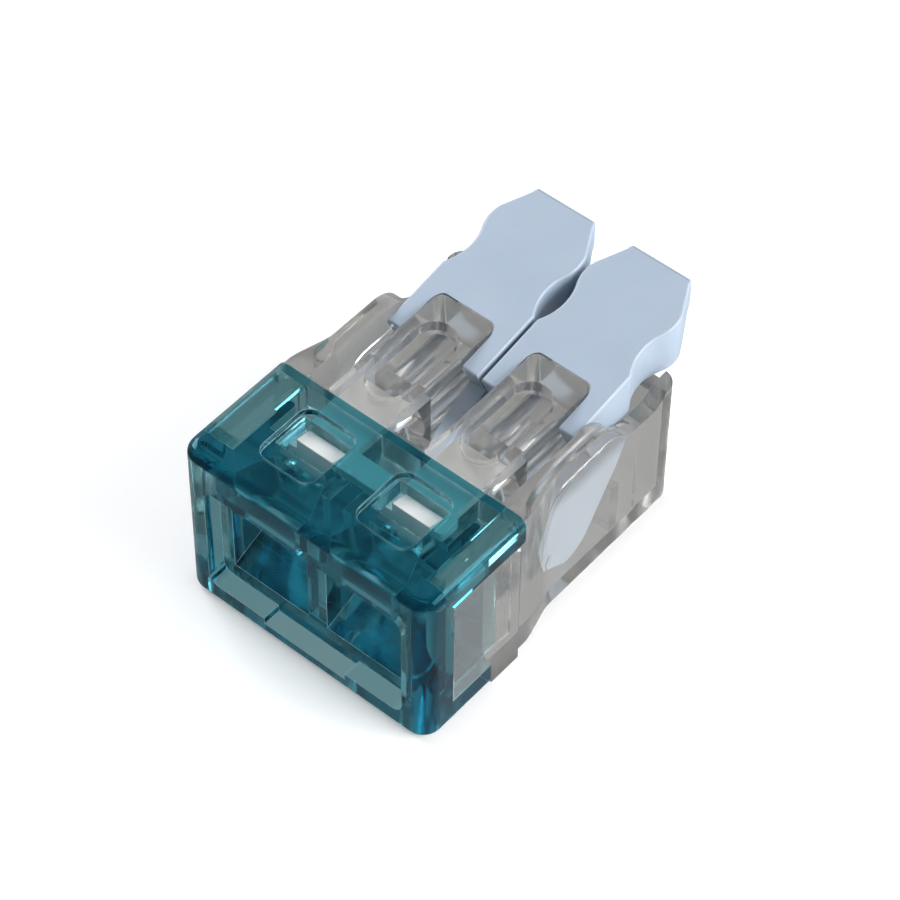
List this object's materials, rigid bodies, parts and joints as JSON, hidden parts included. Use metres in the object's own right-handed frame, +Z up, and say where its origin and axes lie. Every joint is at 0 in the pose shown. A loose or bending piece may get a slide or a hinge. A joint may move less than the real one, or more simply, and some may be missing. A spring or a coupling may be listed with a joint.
{
  "type": "lever wire connector",
  "caption": "Compact splicing connector with a clear housing, a coloured wire-entry cover and hinged clamping levers over a shared current bar.",
  "frame": {"origin": "middle of the flat underside, halfway between the wire-entry face and the rear wall", "axes": "+X across the poles, +Y from the wire-entry face towards the lever tips, +Z up from the underside"},
  "size_m": [0.0132, 0.02, 0.0097],
  "materials": {
    "teal_clear_plastic": "transparent teal, glossy",
    "smoky_clear_plastic": "transparent, slightly smoky, glossy",
    "white_lever_plastic": "opaque bluish white, semi-gloss",
    "spring_steel": "rolled stainless strip",
    "tinned_copper": "bright tin plate on copper"
  },
  "bodies": {
    "connector_body": {"front_cover": "teal_clear_plastic", "housing": "smoky_clear_plastic", "current_bar": "tinned_copper", "clamp_spring_left": "spring_steel", "clamp_spring_right": "spring_steel"},
    "lever_left_body": {"lever_left": "white_lever_plastic"},
    "lever_right_body": {"lever_right": "white_lever_plastic"}
  },
  "joints": [
    {"name": "left_lever_hinge", "type": "hinge", "parent": "connector_body", "child": "lever_left_body", "pos_m": [-0.00255, 0.0017, 0.00295], "axis": [1, 0, 0], "range_deg": [0, 52], "deforming": ["clamp_spring_left"]},
    {"name": "right_lever_hinge", "type": "hinge", "parent": "connector_body", "child": "lever_right_body", "pos_m": [0.00255, 0.0017, 0.00295], "axis": [1, 0, 0], "range_deg": [0, 52], "deforming": ["clamp_spring_right"]}
  ]
}
